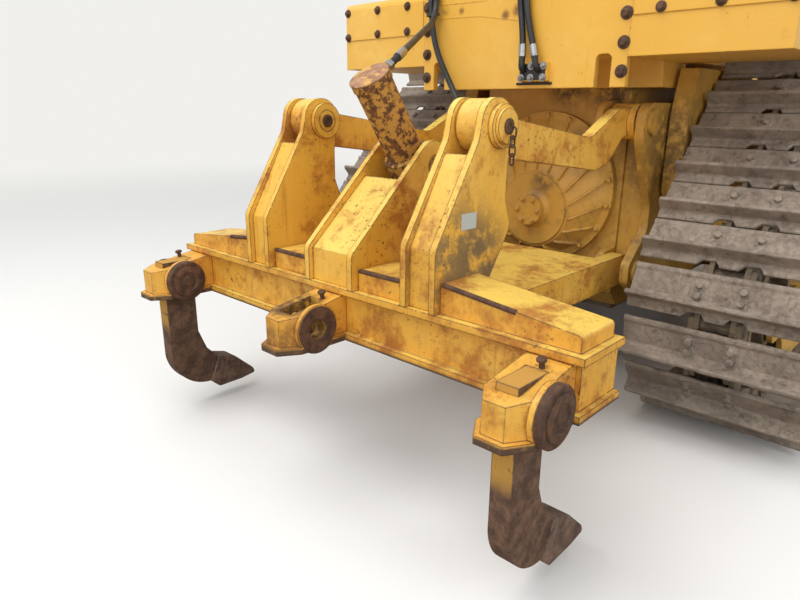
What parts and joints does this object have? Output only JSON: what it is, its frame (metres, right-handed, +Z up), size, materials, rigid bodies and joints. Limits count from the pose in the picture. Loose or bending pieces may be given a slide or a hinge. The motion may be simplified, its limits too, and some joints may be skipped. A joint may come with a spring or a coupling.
{
  "type": "bulldozer",
  "caption": "Crawler bulldozer with raised drive sprockets, cab with roll bar, swept-wing blade on push arms and a parallel-linkage ripper at the rear",
  "frame": {"origin": "on the ground below the middle of the machine's length and width", "axes": "+X forward towards the blade, +Y to the machine's left, +Z up"},
  "size_m": [6.6064, 4.02, 3.44],
  "materials": {
    "yellow_enamel": "weathered",
    "ripper_enamel": "worn and rust stained",
    "track_steel": "muddy, worn bright on the grousers",
    "rusty_steel": "brown rust",
    "edge_steel": "worn by soil",
    "black_enamel": "satin",
    "engine_iron": "painted iron",
    "rod_chrome": "polished",
    "window_glass": "clear",
    "seat_vinyl": "grained",
    "cab_plastic": "moulded",
    "hose_rubber": "matt",
    "lamp_glass": "clear lens"
  },
  "bodies": {
    "root": {"air_intake": "black_enamel", "belly_guard": "track_steel", "cab_glass": "window_glass", "cab_shell": "yellow_enamel", "console": "cab_plastic", "engine": "engine_iron", "equalizer_bar": "black_enamel", "exhaust_stack": "black_enamel", "fenders": "yellow_enamel", "final_drives": "yellow_enamel", "frame_rails": "yellow_enamel", "fuel_tank": "yellow_enamel", "hood": "yellow_enamel", "hose_left_drop": "hose_rubber", "hose_lower": "hose_rubber", "hose_right_drop": "hose_rubber", "hose_upper": "hose_rubber", "idlers_and_rollers": "track_steel", "lift_yokes": "yellow_enamel", "main_case": "yellow_enamel", "mount_pins": "rusty_steel", "pivot_shaft": "black_enamel", "radiator_guard": "yellow_enamel", "rear_cover": "yellow_enamel", "ripper_mount": "ripper_enamel", "roll_bar": "yellow_enamel", "roller_frames": "yellow_enamel", "seat": "seat_vinyl", "sprockets": "track_steel", "tank_guard": "yellow_enamel", "track_left": "track_steel", "track_right": "track_steel", "work_lamps": "lamp_glass"},
    "ripper_frame": {"lower_frame": "ripper_enamel"},
    "ripper_carriage": {"ripper_beam": "ripper_enamel", "ripper_towers": "ripper_enamel", "shank_pockets": "ripper_enamel", "ripper_pins": "rusty_steel", "shanks": "rusty_steel", "shank_tips": "edge_steel", "shank_pins": "rusty_steel"},
    "upper_links": {"upper_links": "ripper_enamel"},
    "ripper_barrel": {"ripper_cylinder": "rusty_steel"},
    "ripper_rod": {"ripper_rod": "rod_chrome"},
    "blade": {"push_arm_left": "yellow_enamel", "push_arm_right": "yellow_enamel", "blade": "yellow_enamel", "cutting_edge": "edge_steel", "blade_braces": "yellow_enamel"},
    "lift_barrels": {"lift_cylinders": "yellow_enamel"},
    "lift_rods": {"lift_rods": "rod_chrome"},
    "cab_door_left": {"cab_door_left": "yellow_enamel", "door_glass_left": "window_glass"},
    "cab_door_right": {"cab_door_right": "yellow_enamel", "door_glass_right": "window_glass"},
    "engine_door_left": {"engine_door_left": "yellow_enamel"},
    "engine_door_right": {"engine_door_right": "yellow_enamel"},
    "grille_door_left": {"grille_door_left": "black_enamel"},
    "grille_door_right": {"grille_door_right": "black_enamel"}
  },
  "joints": [
    {"name": "ripper_lift", "type": "hinge", "parent": "root", "child": "ripper_frame", "pos_m": [-1.46117, 0, 0.703], "axis": [0, 1, 0], "range_deg": [-32, 28], "deforming": ["hose_upper", "hose_lower"]},
    {"name": "carriage_level", "type": "hinge", "parent": "ripper_frame", "child": "ripper_carriage", "pos_m": [-2.66117, 0, 0.703], "axis": [0, 1, 0], "range_deg": [-28, 32]},
    {"name": "upper_link_swing", "type": "hinge", "parent": "root", "child": "upper_links", "pos_m": [-1.47617, 0, 1.44], "axis": [0, 1, 0], "range_deg": [-32, 28]},
    {"name": "ripper_barrel_swing", "type": "hinge", "parent": "ripper_carriage", "child": "ripper_barrel", "pos_m": [-2.53717, 0, 1.272], "axis": [0, 1, 0], "range_deg": [-13.68, 12.03]},
    {"name": "ripper_rod_slide", "type": "slide", "parent": "ripper_barrel", "child": "ripper_rod", "axis": [0.5683, 0, -0.8228], "range_m": [-0.2435, 0.2134]},
    {"name": "blade_lift", "type": "hinge", "parent": "root", "child": "blade", "pos_m": [-0.07617, 0, 0.48], "axis": [0, 1, 0], "range_deg": [-20, 9]},
    {"name": "lift_barrel_swing", "type": "hinge", "parent": "root", "child": "lift_barrels", "pos_m": [1.71383, 0, 1.95], "axis": [0, 1, 0], "range_deg": [-19.14, 8.89]},
    {"name": "lift_rod_slide", "type": "slide", "parent": "lift_barrels", "child": "lift_rods", "axis": [0.507, 0, -0.8619], "range_m": [-0.8067, 0.3647]},
    {"name": "cab_door_left_swing", "type": "hinge", "parent": "root", "child": "cab_door_left", "pos_m": [-0.56617, 0.64, 2.595], "axis": [0, 0, 1], "range_deg": [0, 90]},
    {"name": "engine_door_left_swing", "type": "hinge", "parent": "root", "child": "engine_door_left", "pos_m": [0.24883, 0.43, 1.87], "axis": [0, 0, 1], "range_deg": [0, 90]},
    {"name": "grille_door_left_swing", "type": "hinge", "parent": "root", "child": "grille_door_left", "pos_m": [1.92683, 0.55, 1.425], "axis": [0, 0, 1], "range_deg": [0, 90]},
    {"name": "cab_door_right_swing", "type": "hinge", "parent": "root", "child": "cab_door_right", "pos_m": [-0.56617, -0.64, 2.595], "axis": [0, 0, -1], "range_deg": [0, 90]},
    {"name": "engine_door_right_swing", "type": "hinge", "parent": "root", "child": "engine_door_right", "pos_m": [0.24883, -0.43, 1.87], "axis": [0, 0, -1], "range_deg": [0, 90]},
    {"name": "grille_door_right_swing", "type": "hinge", "parent": "root", "child": "grille_door_right", "pos_m": [1.92683, -0.55, 1.425], "axis": [0, 0, -1], "range_deg": [0, 90]}
  ],
  "couplings": [
    {"joint": "carriage_level", "follows": "ripper_lift", "ratio": -1},
    {"joint": "upper_link_swing", "follows": "ripper_lift", "ratio": 1},
    {"joint": "ripper_barrel_swing", "follows": "ripper_lift", "ratio": 0.4119},
    {"joint": "ripper_rod_slide", "follows": "ripper_lift", "m_per_rad": 0.43056},
    {"joint": "lift_barrel_swing", "follows": "blade_lift", "ratio": 0.9319},
    {"joint": "lift_rod_slide", "follows": "blade_lift", "m_per_rad": 2.3026}
  ]
}
